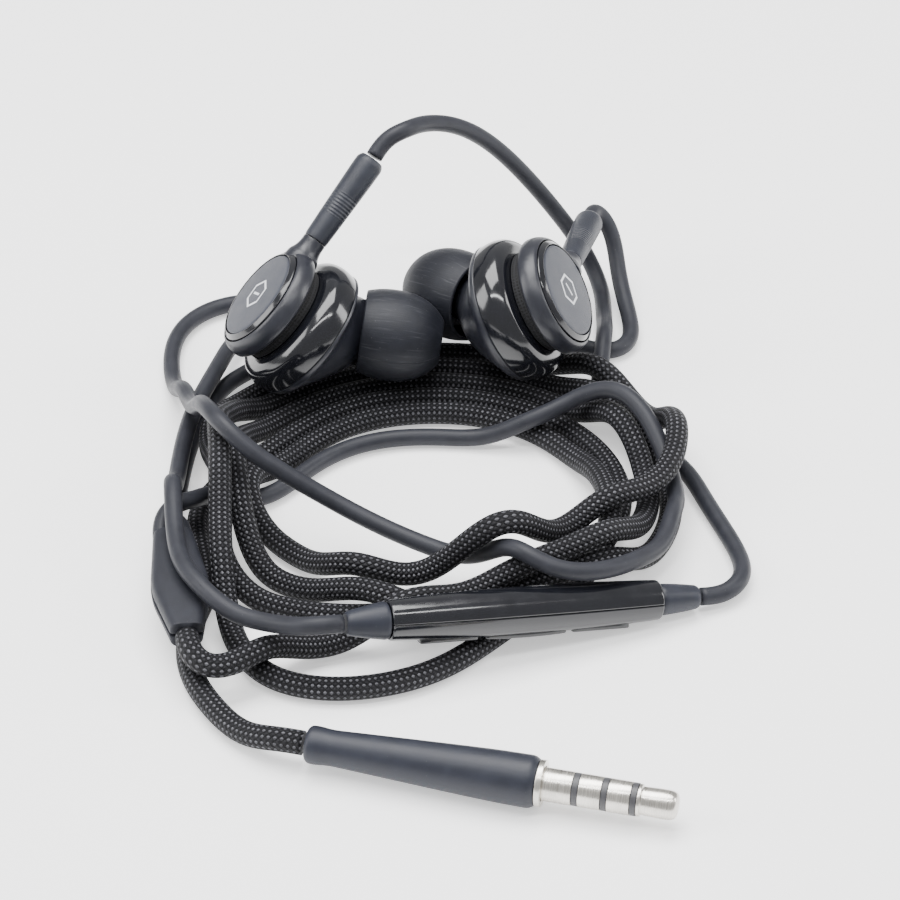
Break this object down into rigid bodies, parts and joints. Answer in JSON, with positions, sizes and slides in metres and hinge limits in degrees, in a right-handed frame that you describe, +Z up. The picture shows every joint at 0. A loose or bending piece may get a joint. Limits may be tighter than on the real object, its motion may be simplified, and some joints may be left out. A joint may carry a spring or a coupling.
{
  "type": "wired in-ear earphones",
  "caption": "Wired in-ear earphones laid on a table: angled buds with silicone tips, inline remote, splitter and a coiled braided cord that ends in a straight audio plug.",
  "frame": {"origin": "middle of the footprint of the buds and remote, on the table they lie on", "axes": "+X to the right of someone facing the remote, +Y away from them past the buds, +Z up"},
  "size_m": [0.0675, 0.1012, 0.0291],
  "materials": {
    "soft_black": "soft matte, blue grey",
    "satin_black": "satin, very dark grey",
    "gloss_black": "glossy black",
    "mesh_black": "fine dark mesh",
    "silicone": "matte silicone",
    "satin_grey": "satin dark grey",
    "rubber_grey": "semi-matte cord jacket",
    "braid": "braided black yarn with light flecks",
    "steel": "plain steel",
    "jack_metal": "satin plated metal",
    "insulator": "dark insulating ring",
    "membrane": "thin film",
    "board": "printed circuit board"
  },
  "bodies": {
    "earphones": {"left_face_plate": "soft_black", "left_bezel_ring": "gloss_black", "left_rear_housing": "satin_black", "left_strain_relief": "soft_black", "left_vent_ring": "mesh_black", "left_mid_housing": "gloss_black", "left_front_housing": "satin_black", "left_nozzle_mesh": "steel", "left_woofer_frame": "steel", "left_tweeter": "steel", "right_face_plate": "soft_black", "right_bezel_ring": "gloss_black", "right_rear_housing": "satin_black", "right_strain_relief": "soft_black", "right_vent_ring": "mesh_black", "right_mid_housing": "gloss_black", "right_front_housing": "satin_black", "right_nozzle_mesh": "steel", "right_woofer_frame": "steel", "right_tweeter": "steel", "remote_top_shell": "gloss_black", "remote_key_shell": "gloss_black", "remote_board": "board", "volume_up_dome_switch": "steel", "play_dome_switch": "steel", "volume_down_dome_switch": "steel", "microphone_capsule": "steel", "remote_left_relief": "soft_black", "remote_right_relief": "soft_black", "splitter_upper_half": "satin_grey", "splitter_lower_half": "satin_grey", "splitter_crimp": "steel", "plug_handle": "soft_black", "plug_collar": "steel", "jack_sleeve": "jack_metal", "jack_insulator_1": "insulator", "jack_ring_2": "jack_metal", "jack_insulator_2": "insulator", "jack_ring_1": "jack_metal", "jack_insulator_3": "insulator", "jack_tip": "jack_metal", "left_bud_cord": "rubber_grey", "remote_cord": "rubber_grey", "right_bud_cord": "rubber_grey", "braided_cord": "braid"},
    "left_tip": {"left_eartip": "silicone"},
    "left_diaphragm": {"left_woofer_diaphragm": "membrane"},
    "right_tip": {"right_eartip": "silicone"},
    "right_diaphragm": {"right_woofer_diaphragm": "membrane"},
    "volume_up_key_body": {"volume_up_key": "gloss_black"},
    "play_key_body": {"play_key": "gloss_black"},
    "volume_down_key_body": {"volume_down_key": "gloss_black"}
  },
  "joints": [
    {"name": "left_tip_turn", "type": "hinge", "parent": "earphones", "child": "left_tip", "pos_m": [-0.01098, 0.01623, 0.00888], "axis": [0.9895, -0.0694, -0.1269], "continuous": true},
    {"name": "left_diaphragm_slide", "type": "slide", "parent": "earphones", "child": "left_diaphragm", "axis": [-0.7289, 0.0102, 0.6845], "range_m": [-0.00015, 0.00015], "stiffness_N_per_m": 200},
    {"name": "right_tip_turn", "type": "hinge", "parent": "earphones", "child": "right_tip", "pos_m": [0.00262, 0.02235, 0.00886], "axis": [-0.7592, 0.6347, -0.1439], "continuous": true},
    {"name": "right_diaphragm_slide", "type": "slide", "parent": "earphones", "child": "right_diaphragm", "axis": [0.8518, -0.141, 0.5045], "range_m": [-0.00015, 0.00015], "stiffness_N_per_m": 200},
    {"name": "volume_up_press", "type": "slide", "parent": "earphones", "child": "volume_up_key_body", "axis": [0.0239, 0.4008, 0.9159], "range_m": [0, 0.00025], "stiffness_N_per_m": 800},
    {"name": "play_press", "type": "slide", "parent": "earphones", "child": "play_key_body", "axis": [0.0239, 0.4008, 0.9159], "range_m": [0, 0.00025], "stiffness_N_per_m": 800},
    {"name": "volume_down_press", "type": "slide", "parent": "earphones", "child": "volume_down_key_body", "axis": [0.0239, 0.4008, 0.9159], "range_m": [0, 0.00025], "stiffness_N_per_m": 800}
  ]
}
